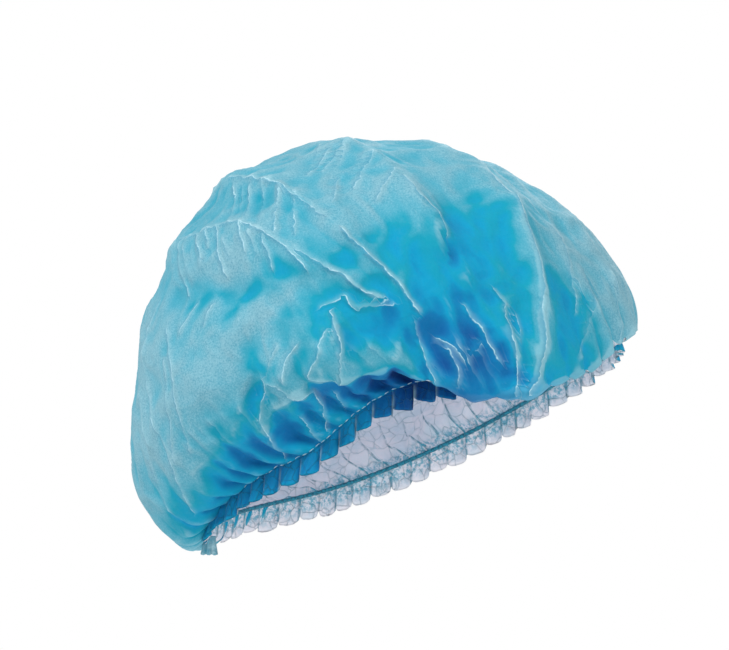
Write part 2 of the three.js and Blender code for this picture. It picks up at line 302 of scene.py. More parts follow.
def lip_shift(turn, climb):
    """How far the lip shifts the cloth, out and down."""
    degrees = (np.degrees(turn) - LIP[0, 0]) % 360 + LIP[0, 0]
    after = np.clip(np.searchsorted(LIP[:, 0], degrees, side="right"), 1, len(LIP) - 1)
    low, high = LIP[after - 1], LIP[after]
    part = np.clip((degrees - low[:, 0]) / (high[:, 0] - low[:, 0]), 0, 1)
    part = part * part * (3 - 2 * part)
    section, out, down = (low[:, k] + (high[:, k] - low[:, k]) * part for k in (1, 2, 3))
    above = np.exp(-(((climb - section) / LIP_REACH) ** 2))
    strength = np.where(climb < section, (climb / section) ** 3, above)
    return strength * out, strength * down


def section_value(column, climb):
    """One column of the sections, as a smooth curve that carries on over the top to the opposite side."""
    rows = SECTIONS[column]
    sign = 1 if column.endswith("rise") else -1
    beyond = sign * SECTIONS[OPPOSITE.get(column, column)][-2]
    line = np.concatenate([[2 * rows[0] - rows[1]], rows, [beyond]])
    row = np.clip(np.floor(climb).astype(int), 0, TOP - 1)
    before, low, high, after = (line[row + k] for k in range(4))
    part = climb - row
    slope = high - before
    curve = 2 * before - 5 * low + 4 * high - after
    twist = 3 * low - before - 3 * high + after
    return (2 * low + slope * part + curve * part ** 2 + twist * part ** 3) / 2


def smooth_crown(turn, climb):
    """The crown before its folds and pleats."""
    nape = section_value("nape", climb)
    brow = section_value("brow", climb)
    forward, sideways = np.cos(turn), np.sin(turn)
    fore = (1 + forward) / 2
    end_rise = section_value("nape_rise", climb) * (1 - fore) + section_value("brow_rise", climb) * fore
    sag_left = np.maximum(0, 1 - climb / SAG_REACH) ** 2
    lip_out, lip_down = lip_shift(turn, climb)
    x = (brow - nape) / 2 + ((brow + nape) / 2 + lip_out) * forward
    y = (section_value("side", climb) + lip_out) * sideways
    rise = section_value("side_rise", climb) * sideways ** 2 + end_rise * forward ** 2
    z = rise + sag_at(turn) * sag_left - lip_down
    return np.stack([x, y, z], -1)


def unit(vectors):
    """Vectors made 1 long."""
    return vectors / np.maximum(np.linalg.norm(vectors, axis=-1, keepdims=True), 1e-9)


def outward_from(turn, climb):
    """Directions square to the smooth crown."""
    step = 0.01
    below = np.maximum(climb - step, 0)
    up = smooth_crown(turn, np.minimum(below + 2 * step, TOP)) - smooth_crown(turn, below)
    around = smooth_crown(turn + step, climb) - smooth_crown(turn - step, climb)
    return unit(np.cross(around, up))


def held(along):
    """A fold that keeps its height from end to end, and meets the next one."""
    return np.ones_like(along)


def trailing(along):
    """A ripple that is deepest near its top and runs out downwards."""
    return np.minimum(1, 0.3 + 5 * along) * (1 - along) ** 0.7


def beside_folds(points, outward, folds):
    """For each fold on both sides of the cap: the fold's sizes, and for each point how far along the fold
    it is, from 0 to 1, how far away, and a number that is above 0 on the fold's left."""
    for side, shift in ((1, 0), (-1, FAR_SIDE_SHIFT)):
        for start, end, *sizes in folds:
            turns = np.radians([side * (start[0] + shift), side * (end[0] + shift)])
            a, b = smooth_crown(turns, np.array([start[1], end[1]], float))
            run = b - a
            offset = points - a
            along = np.clip(offset @ run / (run @ run), 0, 1)
            offset = offset - along[:, None] * run
            left_of = np.einsum("ij,ij->i", np.cross(outward, run), offset) * side
            yield sizes, along, np.linalg.norm(offset, axis=1), left_of


def fold_lift(points, outward, folds, profile):
    """How far the folds lift the cloth at points of the smooth crown."""
    raised = np.zeros(len(points))
    sunk = np.zeros(len(points))
    for (height, left, right, sharp), along, away, left_of in beside_folds(points, outward, folds):
        wide = np.where(left_of > 0, left, right)
        lift = height * profile(along) * np.exp(-((away / wide) ** sharp))
        raised = np.maximum(raised, lift)
        sunk = np.minimum(sunk, lift)
    return raised + sunk


def nearest_crest(points, outward, kinds):
    """Distance across to the nearest crease, with a sign for its side, and the crease's strength."""
    across = np.full(len(points), NO_CREASE)
    strongest = np.zeros(len(points))
    for folds, profile in kinds:
        for (height, *_), along, away, left_of in beside_folds(points, outward, folds):
            drawn = min(1, height / FULL_CREASE)
            strength = drawn * profile(along) * np.exp(-((away / CREASE_REACH) ** 2))
            nearer = strength > strongest
            across[nearer] = (away * np.sign(left_of))[nearer]
            strongest[nearer] = strength[nearer]
    return across, strongest


def crease_segments():
    """The creases cut into straight folds, lower towards their ends."""
    segments = []
    for height, places in CREASES:
        last = len(places) - 2
        for k, (start, end) in enumerate(zip(places, places[1:])):
            part = 1 if 0 < k < last else 0.85
            segments.append((start, end, part * height, 3, 4, 1))
    return segments


def comb_ripples():
    """The ripples of all the combs, as folds."""
    ripples = []
    for first_top, last_top, first_foot, last_foot, count, height in COMBS:
        for k in range(count):
            part = (k + 0.5 + 0.18 * math.sin(5 * k + 1)) / count
            top = tuple(a + (b - a) * part for a, b in zip(first_top, last_top))
            foot = tuple(a + (b - a) * part for a, b in zip(first_foot, last_foot))
            ripples.append((top, foot, height * (0.8 + 0.25 * math.sin(3 * k + 2)), 3.6, 2.6, 1.3))
    return ripples


def crumple_lift(points):
    """Small sharp-edged crumples, worked out from noise that is bent and stretched upwards."""
    lift = np.zeros(len(points))
    for size, height in CRUMPLES:
        bent = points + 0.22 * size * np.sin(points[:, [1, 2, 0]] / size * 2.3 + size)
        scaled = bent * (1, 1, 0.62) / size
        values = np.array([noise.noise(Vector(place)) for place in scaled])
        lift += height * (0.45 - np.minimum(1, np.abs(values) * 2.6))
    return lift


def patch_depth(turn, climb):
    """How deep the blue is at places of the crown: layers of cloth, painted sheen where light falls and
    painted shade.
    """
    degrees = np.degrees(turn) % 360
    mirrored = 360 - degrees - FAR_SIDE_SHIFT * np.sin(turn)
    folded = np.where(degrees < 180, mirrored, degrees)
    folded = folded + 2.5 * np.sin(climb * 3.1 + folded / 9) + 1.2 * np.sin(climb * 9)
    level = climb + 0.12 * np.sin(folded / 4.3) + 0.06 * np.sin(folded / 1.7)
    # painted shade: deeper blue near the elastic, where the cloth faces down
    layer_shade_depth = 0.22 + 0.36 * np.exp(-((climb / 1.0) ** 2))
    for middle, height, wide, tall, value in PATCHES:
        away = ((folded - middle) / wide) ** 2 + ((level - height) / tall) ** 2
        layer_shade_depth = layer_shade_depth + (value - layer_shade_depth) * np.exp(-(away ** 1.3))
    return layer_shade_depth


def pleat_part(along):
    """How far across its pleat a place is, from one valley at 0 to the next at 1."""
    return (along * PLEATS / (2 * np.pi) + 0.5) % 1


def pleat_arch(along, sharpness):
    """A row of arches with valleys between: 1 on top of a pleat and -1 in a valley."""
    return 1 - 2 * np.abs(2 * pleat_part(along) - 1) ** sharpness


def pleat_wander(along, height):
    """How far a pleat strays sideways as it climbs."""
    slow = 0.008 * np.sin(height / 14 + 9 * along) * np.minimum(1, height / 20)
    return slow + 0.003 * np.sin(height / 3.1 + 31 * along)


def fading(wave, height, stretch=1.0):
    """How high a wave of the gathers is at a height up the cloth."""
    start, reach = wave
    return start * np.exp(-((height / (reach * stretch)) ** 2))


def crown_surface(along, climb):
    """The crown with its folds, creases, crumples and gathers."""
    turn = turn_at(along)
    points = smooth_crown(turn, climb)
    outward = outward_from(turn, climb)
    outward[climb >= TOP] = (0, 0, 1)
    height = climb * SECTION_STEP
    lift = (fold_lift(points, outward, FOLDS, held) + fold_lift(points, outward, crease_segments(), held)
            + fold_lift(points, outward, comb_ripples(), trailing))
    lift = (lift + crumple_lift(points)) * np.minimum(1, height / FOLDS_FULL)
    fullness = np.minimum(1, PINCHED_PLEATS + height / PLEATS_FULL)
    unevenness = 1 + 0.35 * np.sin(5 * along + 1) * np.sin(9 * along + 2)
    strayed = along + pleat_wander(along, height)
    single = fading(PLEAT_WAVE, height, unevenness) * pleat_arch(strayed, 1.6)
    double = fading(TWO_PLEAT_WAVE, height) * np.cos(PLEATS / 2 * along + 0.8 + 0.6 * np.sin(3 * along))
    broad = fading(FOUR_PLEAT_WAVE, height) * np.cos(PLEATS / 4 * along + 2 + 0.8 * np.sin(2 * along))
    late = np.minimum(1, height / WAVES_FULL)
    return points + outward * (lift + fullness * single + late * (double + broad))[:, None]


def to_row(points):
    """From millimetres with the opening level to metres in the row's frame."""
    cos, sin = math.cos(OPENING_PITCH), math.sin(OPENING_PITCH)
    x, y, z = points[..., 0], points[..., 1], points[..., 2]
    return np.stack([x * cos - z * sin, y, x * sin + z * cos], -1) * MM


def crown_rings():
    """The section number and the number of points of each ring of the crown."""
    rings = []
    for top, count, step in RING_BANDS:
        start = rings[-1][0] + step if rings else 0.0
        rings += [(section, count) for section in np.arange(start, top, step)]
    return rings


def crown_grid():
    """Places along the elastic, section numbers and triangles of the crown's skin, and how many points are
    in its foot."""
    sections, counts = zip(*crown_rings())
    firsts = np.cumsum((0,) + counts)
    along = np.concatenate([2 * np.pi * np.arange(count) / count for count in counts + (1,)])
    climb = np.repeat(sections + (float(TOP),), counts + (1,))
    faces = []
    for k, count in enumerate(counts[1:], 1):
        ratio = counts[k - 1] // count
        i = np.arange(count)
        here, after = firsts[k] + i, firsts[k] + (i + 1) % count
        low = [firsts[k - 1] + (i * ratio + step) % counts[k - 1] for step in range(ratio + 1)]
        faces += [np.stack([low[step], low[step + 1], here], -1) for step in range(ratio)]
        faces.append(np.stack([low[ratio], after, here], -1))
    i = np.arange(counts[-1])
    last, top = firsts[-2:]
    faces.append(np.stack([last + i, last + (i + 1) % counts[-1], np.full(len(i), top)], -1))
    return along, climb, np.concatenate(faces), counts[0]


def vertex_normals(points, faces):
    """Directions square to a surface of triangles at its points."""
    corners = points[faces]
    face_normals = np.cross(corners[:, 1] - corners[:, 0], corners[:, 2] - corners[:, 0])
    normals = np.zeros_like(points)
    for k in range(3):
        np.add.at(normals, faces[:, k], face_normals)
    return unit(normals)


def bulge(points, faces, normals, rounds):
    """How far each point stands out from the points round it: above 0 on a crest, below in a valley."""
    edges = np.concatenate([faces[:, [0, 1]], faces[:, [1, 2]], faces[:, [2, 0]]])
    count = np.zeros(len(points))
    np.add.at(count, edges[:, 0], 1)
    np.add.at(count, edges[:, 1], 1)
    middle = points
    for _ in range(rounds):
        total = np.zeros_like(points)
        np.add.at(total, edges[:, 0], middle[edges[:, 1]])
        np.add.at(total, edges[:, 1], middle[edges[:, 0]])
        middle = total / count[:, None]
    return np.einsum("ij,ij->i", points - middle, normals)


def mesh_object(name, points, faces, materials, material_of_face=None, attributes=None):
    """An object of faces with equal numbers of corners. Its attributes have a value for each point."""
    mesh = bpy.data.meshes.new(name)
    mesh.vertices.add(len(points))
    mesh.vertices.foreach_set("co", np.asarray(points, np.float32).ravel())
    size = faces.shape[1]
    mesh.loops.add(faces.size)
    mesh.loops.foreach_set("vertex_index", faces.astype(np.int32).ravel())
    mesh.polygons.add(len(faces))
    mesh.polygons.foreach_set("loop_start", np.arange(0, faces.size, size, dtype=np.int32))
    mesh.polygons.foreach_set("use_smooth", np.ones(len(faces), bool))
    for material in materials:
        mesh.materials.append(material)
    if material_of_face is not None:
        mesh.polygons.foreach_set("material_index", material_of_face.astype(np.int32))
    for key, values in (attributes or {}).items():
        kind, field = ("FLOAT", "value") if values.ndim == 1 else ("FLOAT_VECTOR", "vector")
        mesh.attributes.new(key, kind, "POINT").data.foreach_set(field, values.astype(np.float32).ravel())
    mesh.update(calc_edges=True)
    mesh.validate()
    obj = bpy.data.objects.new(name, mesh)
    bpy.context.scene.collection.objects.link(obj)
    return obj


def srgb(red, green, blue):
    """A colour given as it looks on a screen, 0 to 255, for a shader."""
    return tuple((value / 255) ** 2.2 for value in (red, green, blue)) + (1,)


# painted highlight and sheen, also one of the tab's mottled tones
GLINT = srgb(172, 212, 222)
# frosted pale that stands for painted sheen where light falls, also a tone of the tab
FROST = srgb(122, 174, 190)
PALE = srgb(84, 166, 188)
CYAN = srgb(18, 152, 178)
BRIGHT = srgb(0, 150, 192)
BLUE = srgb(0, 116, 172)
# the blue of layered cloth made deeper still by painted shade
DEEP = srgb(0, 84, 148)
NAVY = srgb(0, 56, 114)
PIT = srgb(30, 124, 158)
# painted highlight along a crease's crest, and painted shade beside it
CREASE_HIGHLIGHT = srgb(174, 216, 228)
CREASE_SHADE = srgb(20, 124, 164)
# the back of the cloth painted pale for the light that comes through it
INNER_BACKLIT = srgb(222, 221, 230)
INNER_CLOUD = srgb(158, 196, 214)
INNER_NET = srgb(96, 166, 190)
INNER_STIPPLE = srgb(30, 150, 178)
TEAL = srgb(0, 112, 136)


class Nodes:
    """Short calls for a material's nodes. An input is a number, a colour or another node's output."""

    def __init__(self, name):
        self.material = bpy.data.materials.new(name)
        self.material.use_nodes = True
        self.tree = self.material.node_tree
        self.shader = self.tree.nodes["Principled BSDF"]

    def add(self, kind, inputs, output=0, **settings):
        node = self.tree.nodes.new("ShaderNode" + kind)
        for key, value in settings.items():
            setattr(node, key, value)
        for key, value in inputs.items():
            self.put(node.inputs[key], value)
        return node.outputs[output]

    def put(self, socket, value):
        if isinstance(value, bpy.types.NodeSocket):
            self.tree.links.new(value, socket)
        else:
            socket.default_value = value

    def place(self):
        return self.add("TexCoord", {}, "Object")

    def attribute(self, name, output="Fac"):
        return self.add("Attribute", {}, output, attribute_name=name)

    def math(self, operation, a, b=0.0, c=0.0):
        return self.add("Math", {0: a, 1: b, 2: c}, operation=operation)

    def noise(self, place, scale, detail=3.0, roughness=0.55):
        inputs = {"Vector": place, "Scale": scale, "Detail": detail, "Roughness": roughness}
        return self.add("TexNoise", inputs, "Fac")

    def bent(self, place, scale, amount):
        """A place shifted by up to half the amount each way, so that patterns laid on it wander."""
        wander = self.add("TexNoise", {"Vector": place, "Scale": scale, "Detail": 3.0}, "Color")
        centred = self.add("VectorMath", {0: wander, 1: (0.5, 0.5, 0.5)}, operation="SUBTRACT")
        return self.add("VectorMath", {0: centred, 1: (amount,) * 3, 2: place}, operation="MULTIPLY_ADD")

    def span(self, value, low, high, to_low=0.0, to_high=1.0):
        """Maps low..high smoothly onto to_low..to_high, and stays there beyond."""
        inputs = {"Value": value, "From Min": low, "From Max": high, "To Min": to_low, "To Max": to_high}
        return self.add("MapRange", inputs, interpolation_type="SMOOTHSTEP")

    def ramp(self, value, stops):
        ramp = self.add("ValToRGB", {"Fac": value}, "Color")
        elements = ramp.node.color_ramp.elements
        while len(elements) < len(stops):
            elements.new(0.5)
        for element, (position, color) in zip(elements, stops):
            element.position = position
            element.color = color
        return ramp

    def varied(self, value, pattern, amount, mean=0.5):
        """A value with so much of a pattern added, less the pattern's mean."""
        return self.math("MULTIPLY_ADD", pattern, amount, self.math("ADD", value, -amount * mean))

    def mix(self, factor, a, b):
        return self.add("Mix", {0: factor, 6: a, 7: b}, 2, data_type="RGBA")

    def bump(self, height, distance, strength, below=None):
        inputs = {"Height": height, "Distance": distance, "Strength": strength}
        if below is not None:
            inputs["Normal"] = below
        return self.add("Bump", inputs)


def crazed(nodes, place, scale, width):
    """Thin creases that meet at corners, like those of crumpled paper: 1 on a crease."""
    bent = nodes.bent(place, 55.0, 0.009)
    inputs = {"Vector": bent, "Scale": scale}
    away = nodes.add("TexVoronoi", inputs, "Distance", feature="DISTANCE_TO_EDGE")
    return nodes.span(away, 0.0, width, 1.0, 0.0)


def crumpled(nodes, place, scale):
    """Relief of crumpled cloth: flat facets that meet in sharp crests."""
    bent = nodes.bent(place, 38.0, 0.012)
    return nodes.add("TexVoronoi", {"Vector": bent, "Scale": scale}, "Distance")


def finish_cloth(nodes, color, creases, relief=0.0022):
    """The matt, slightly fuzzy surface of spunbond cloth, with its fibres and creases in relief."""
    place = nodes.place()
    fibres = nodes.noise(place, 1500.0, 2.0)
    clumps = nodes.noise(place, 600.0, 2.0, 0.7)
    crumples = nodes.math("MULTIPLY_ADD", crumpled(nodes, place, 120.0), 0.4, crumpled(nodes, place, 48.0))
    normal = nodes.bump(nodes.math("ADD", clumps, fibres), 0.0001, 0.45)
    normal = nodes.bump(crumples, relief, 0.7, normal)
    normal = nodes.bump(creases, 0.0007, 0.8, normal)
    nodes.put(nodes.shader.inputs["Base Color"], color)
    nodes.put(nodes.shader.inputs["Roughness"], nodes.span(clumps, 0.3, 0.7, 0.6, 0.85))
    nodes.put(nodes.shader.inputs["Normal"], normal)
    nodes.shader.inputs["Sheen Weight"].default_value = 0.03
    nodes.shader.inputs["Sheen Roughness"].default_value = 0.6
    nodes.shader.inputs["Specular IOR Level"].default_value = 0.15
    return nodes.material


def outer_color(nodes, layer_shade_depth, crest, hollow):
    """Cyan to navy by depth, frosted pale as painted sheen and navy as painted shade, with a painted
    highlight on crests and painted shade in hollows, and grain and mottling.
    """
    place = nodes.place()
    cloth = nodes.attribute("cloth", "Vector")
    mottle = nodes.noise(place, 34.0, 6.0, 0.62)
    streaks = nodes.noise(cloth, 90.0, 4.0, 0.6)
    grain = nodes.noise(place, 1250.0, 2.0, 0.7)
    facets = crumpled(nodes, place, 48.0)
    deep = nodes.varied(layer_shade_depth, mottle, 0.18)
    deep = nodes.varied(deep, streaks, 0.12)
    # painted light: lighter towards the crests of the crumpled facets, the same pattern as their relief
    deep = nodes.varied(deep, facets, -0.12, 5 / 12)
    # painted shade in broad hollows, painted highlight on broad bulges
    deep = nodes.math("ADD", deep, nodes.span(hollow, -0.9, 0.9, 0.05, -0.05))
    # painted highlight on fine crests, painted shade in fine valleys
    deep = nodes.math("ADD", deep, nodes.span(crest, -0.3, 0.3, 0.04, -0.04))
    # the pale end of the ramp is painted sheen where light falls, the navy end painted shade
    color = nodes.ramp(deep, [(0.04, FROST), (0.24, PALE), (0.38, CYAN), (0.52, BRIGHT), (0.7, BLUE),
                              (0.86, DEEP), (0.98, NAVY)])
    most_speckle = nodes.span(deep, 0.08, 0.42, 0.24, 0.0)
    speckle = nodes.math("MULTIPLY", nodes.span(grain, 0.48, 0.68), most_speckle)
    color = nodes.mix(speckle, color, GLINT)
    most_pits = nodes.span(deep, 0.08, 0.5, 0.36, 0.05)
    pits = nodes.math("MULTIPLY", nodes.span(grain, 0.5, 0.34), most_pits)
    return nodes.mix(pits, color, PIT)


def crown_outside():
    """Each crease is a thin bright line of painted highlight, with painted highlight on one side and
    painted shade on the other.
    """
    nodes = Nodes("crown cloth outside")
    place = nodes.place()
    layer_shade_depth, crest, hollow = (nodes.attribute(name) for name in ("layer_shade_depth", "crest", "hollow"))
    color = outer_color(nodes, layer_shade_depth, crest, hollow)
    # painted highlight on sharp crests, weaker where the blue is deep
    edge = nodes.math("MULTIPLY", nodes.span(crest, 0.35, 0.9), nodes.span(layer_shade_depth, 0.4, 0.75, 0.35, 0.06))
    color = nodes.mix(edge, color, GLINT)
    wander = nodes.math("MULTIPLY_ADD", nodes.noise(place, 85.0, 3.0, 0.6), 6.0, -3.0)
    across = nodes.math("ADD", nodes.attribute("across"), wander)
    strength = nodes.attribute("strength")
    away = nodes.math("ABSOLUTE", across)
    # painted shade on one side of each crease
    darker_side = nodes.span(across, -0.4, 0.4, 0.5, 0.0)
    shadow = nodes.math("MULTIPLY", nodes.span(away, 0.3, 3.2, 1.0, 0.0), darker_side)
    color = nodes.mix(nodes.math("MULTIPLY", shadow, strength), color, CREASE_SHADE)
    # painted highlight on the other side of each crease
    highlight_side = nodes.math("MULTIPLY", nodes.span(away, 0.2, 3.4, 0.4, 0.0), nodes.span(across, -0.3, 0.3))
    color = nodes.mix(nodes.math("MULTIPLY", highlight_side, strength), color, GLINT)
    # a thin, broken painted highlight line along each crease
    broken = nodes.span(nodes.noise(place, 150.0, 3.0, 0.7), 0.38, 0.58, 0.15, 1.0)
    fine = nodes.math("MULTIPLY", nodes.span(away, 0.05, 0.4, 1.0, 0.0), nodes.span(strength, 0.25, 0.65))
    color = nodes.mix(nodes.math("MULTIPLY", fine, broken), color, CREASE_HIGHLIGHT)
    crest_relief = nodes.math("MULTIPLY", nodes.span(away, 0.0, 2.2, 1.0, 0.0), strength)
    return finish_cloth(nodes, color, crest_relief)


def pale_inside(nodes, fold_share=1.0):
    """The back of the cloth, painted pale for the light that comes through it, with teal lines in its folds
    and a stippled band by the elastic.
    """
    place = nodes.place()
    valley, rim = nodes.attribute("valley"), nodes.attribute("rim")
    mottle = nodes.noise(place, 60.0, 5.0, 0.65)
    # painted light: the pale colour stands for light coming through the cloth
    color = nodes.mix(nodes.span(mottle, 0.35, 0.68, 0.0, 0.4), INNER_BACKLIT, INNER_CLOUD)
    net = crazed(nodes, place, 110.0, 0.03)
    color = nodes.mix(nodes.math("MULTIPLY", net, 0.3), color, INNER_NET)
    folds = nodes.span(valley, 0.86, 0.98)
    broken = nodes.span(nodes.noise(place, 240.0, 2.0), 0.36, 0.56, 0.25, 0.85 * fold_share)
    color = nodes.mix(nodes.math("MULTIPLY", folds, broken), color, TEAL)
    stipple = nodes.span(nodes.noise(place, 480.0, 3.0, 0.7), 0.4, 0.6)
    near_rim = nodes.math("MULTIPLY", stipple, nodes.span(rim, 0.04, 0.6, 0.0, 0.75))
    color = nodes.mix(near_rim, color, INNER_STIPPLE)
    return color, net


def glow(nodes, color, strength):
    """Stands in for the light that comes through one thin layer of cloth."""
    nodes.put(nodes.shader.inputs["Emission Color"], color)
    nodes.shader.inputs["Emission Strength"].default_value = strength


def crown_inside():
    nodes = Nodes("crown cloth inside")
    color, net = pale_inside(nodes)
    glow(nodes, color, 0.17)
    return finish_cloth(nodes, color, net, 0.0012)


def hem_outside():
    nodes = Nodes("hem cloth outside")
    place = nodes.place()
    layer_shade_depth, crest, edge_highlight = (nodes.attribute(name) for name in ("layer_shade_depth", "crest", "edge_highlight"))
    color = outer_color(nodes, layer_shade_depth, crest, crest)
    net = crazed(nodes, place, 160.0, 0.03)
    color = nodes.mix(nodes.math("MULTIPLY", net, 0.2), color, PALE)
    # painted highlight down the leading edge of each pleat
    color = nodes.mix(nodes.math("MULTIPLY", edge_highlight, 0.7), color, GLINT)
    return finish_cloth(nodes, color, net)


def hem_inside():
    nodes = Nodes("hem cloth inside")
    color, net = pale_inside(nodes, 0.8)
    glow(nodes, color, 0.08)
    return finish_cloth(nodes, color, net)


def thread(name, color, shade):
    """Thread with fine fibres in relief."""
    nodes = Nodes(name)
    place = nodes.place()
    fibres = nodes.noise(place, 900.0, 3.0, 0.7)
    nodes.put(nodes.shader.inputs["Base Color"], nodes.mix(nodes.span(fibres, 0.35, 0.65), shade, color))
    nodes.put(nodes.shader.inputs["Normal"], nodes.bump(fibres, 0.0002, 0.6))
    nodes.shader.inputs["Roughness"].default_value = 0.7
    nodes.shader.inputs["Sheen Weight"].default_value = 0.2
    return nodes.material


def make_crown():
    """Two skins of cloth, joined round the foot."""
    along, climb, faces, foot = crown_grid()
    points = crown_surface(along, climb)
    turn = turn_at(along)
    across, strength = nearest_crest(smooth_crown(turn, climb), outward_from(turn, climb),
                                     ((crease_segments(), held), (comb_ripples(), trailing)))
    normals = vertex_normals(points, faces)
    height = climb * SECTION_STEP
    strayed = along + pleat_wander(along, height)
    attributes = {
        "crest": bulge(points, faces, normals, 3),
        "hollow": bulge(points, faces, normals, 16),
        "across": across,
        "strength": strength,
        "layer_shade_depth": patch_depth(turn, climb),
        "valley": -np.cos(PLEATS * strayed) - height / 900,
        "rim": np.exp(-((height / 10) ** 2)),
        "cloth": np.stack([0.13 * np.cos(along), 0.13 * np.sin(along), 0.22 * height * MM], -1),
    }
    inner = points - normals * SKIN
    shift = len(points)
    ring = np.arange(foot)
    after = (ring + 1) % foot
    edge = np.concatenate([np.stack([ring, ring + shift, after], -1),
                           np.stack([after, ring + shift, after + shift], -1)])
    all_faces = np.concatenate([faces, faces[:, ::-1] + shift, edge])
    side = np.concatenate([np.zeros(len(faces)), np.ones(len(faces)), np.zeros(len(edge))])
    attributes = {key: np.concatenate([values, values]) for key, values in attributes.items()}
    return mesh_object("crown_cloth", to_row(np.concatenate([points, inner])), all_faces,
                       [crown_outside(), crown_inside()], side, attributes)


def rim_frame(along):
    """The middle of the elastic and the direction outwards from it, at places along it."""
    turn = turn_at(along)
    forward, sideways = np.cos(turn), np.sin(turn)
    middle = np.stack([ELASTIC_LENGTH / 2 * forward, ELASTIC_WIDTH / 2 * sideways, sag_at(turn)], -1)
    out = unit(np.stack([ELASTIC_WIDTH * forward, ELASTIC_LENGTH * sideways, 0 * turn], -1))
    return middle, out


def hem_line(along, part, inside):
    """Points of the hem, part of the way down from the elastic to its end, outside or inside. Each pleat's
    end is nearly level, so the hem's edge goes up in steps."""
    middle, out = rim_frame(along)
    pleat_middle, _ = rim_frame(np.round(along * PLEATS / (2 * np.pi)) * 2 * np.pi / PLEATS)
    left = np.maximum(0, np.sin(along))
    step = (middle - pleat_middle)[:, 0] * math.tan(OPENING_PITCH) * (0.85 - 0.55 * left)
    number = np.floor(along * PLEATS / (2 * np.pi) + 0.5)
    uneven = np.sin(12.9 * number) * np.sin(4.1 * number + 1)
    length = (HEM_LENGTH + HEM_LEFT_EXTRA * left + step + HEM_SCALLOP * pleat_arch(along, 4)
              + HEM_UNEVENNESS * uneven)
    arch = pleat_arch(along, 2.6) * (0.5 + 1.5 * part ** 0.7) * (1 + 0.3 * uneven)
    lean = 0.9 * part * np.sin(7.7 * number) * (2 * pleat_part(along) - 1)
    ripple = 0.35 * part * np.sin(along * PLEATS * 3.3 + 5 * part) * np.sin(along * 23 + 1)
    distance = HEM_GAP + HEM_FLARE * part + arch + lean + ripple - HEM_THICKNESS * inside
    return middle + out * distance[:, None] + DOWN * (part * length)[:, None]


def make_hem():
    """The pleated hem, down the outside and up the inside."""
    per_pleat, strips = 20, 8
    count = PLEATS * per_pleat
    along = 2 * np.pi * np.arange(count) / count
    down_rows = np.linspace(0, 1, strips + 1)
    profile = [(part, 0) for part in down_rows] + [(part, 1) for part in down_rows[-2::-1]]
    points = np.concatenate([hem_line(along, part, inside) for part, inside in profile])
    i = np.arange(count)
    faces = []
    for row in range(2 * strips):
        a, b = row * count + i, row * count + (i + 1) % count
        faces.append(np.stack([a, a + count, b + count, b], -1))
    faces = np.concatenate(faces)
    side = np.repeat([0] * strips + [1] * strips, count)
    triangles = np.concatenate([faces[:, [0, 1, 2]], faces[:, [0, 2, 3]]])
    normals = vertex_normals(points, triangles)
    # painted shade: the hem is a little deeper blue than the crown's foot
    layer_shade_depth = patch_depth(turn_at(along), np.full(count, 0.25)) + 0.06
    parts = np.repeat([part for part, _ in profile], count)
    # where the painted highlight on each pleat's leading edge lies
    leading_edge = np.exp(-((pleat_part(along) / 0.09) ** 2))
    attributes = {
        "crest": 0.6 * bulge(points, triangles, normals, 3),
        "layer_shade_depth": np.tile(layer_shade_depth, len(profile)),
        "edge_highlight": np.tile(leading_edge, len(profile)) * np.clip(parts * 2, 0, 1),
        "valley": np.tile(-np.cos(PLEATS * along), len(profile)),
        "rim": np.exp(-((parts * HEM_LENGTH / 6) ** 2)),
        "cloth": np.tile(0.13 * np.stack([np.cos(along), np.sin(along), 0 * along], -1), (len(profile), 1)),
    }
    return mesh_object("hem_cloth", to_row(points), faces, [hem_outside(), hem_inside()], side, attributes)


def tube_faces(rings, sides, closed):
    """Quads of a tube whose points go side by side within ring after ring."""
    i, k = np.meshgrid(np.arange(rings if closed else rings - 1), np.arange(sides), indexing="ij")
    here, there = i * sides, (i + 1) % rings * sides
    after = (k + 1) % sides
    return np.stack([here + k, there + k, there + after, here + after], -1).reshape(-1, 4)


def ring_around(out, angle):
    """Directions round a thread, from outwards by up."""
    cos, sin = np.cos(angle)[None, :, None], np.sin(angle)[None, :, None]
    return out[:, None, :] * cos + np.array([0, 0, 1]) * sin


def make_elastic():
    """The closed loop of elastic, with a thread wound round it."""
    sides, count = 10, 1120
    along = 2 * np.pi * np.arange(count) / count
    middle, out = rim_frame(along)
    angle = 2 * np.pi * np.arange(sides) / sides
    wound = 1 + 0.09 * np.sin(140 * along[:, None] + 2 * angle[None, :])
    radius = ELASTIC_THREAD / 2 * wound[..., None]
    points = (middle[:, None, :] + radius * ring_around(out, angle)).reshape(-1, 3)
    material = thread("elastic thread", srgb(20, 140, 165), srgb(0, 84, 108))
    return mesh_object("elastic_cord", to_row(points), tube_faces(count, sides, True), [material])


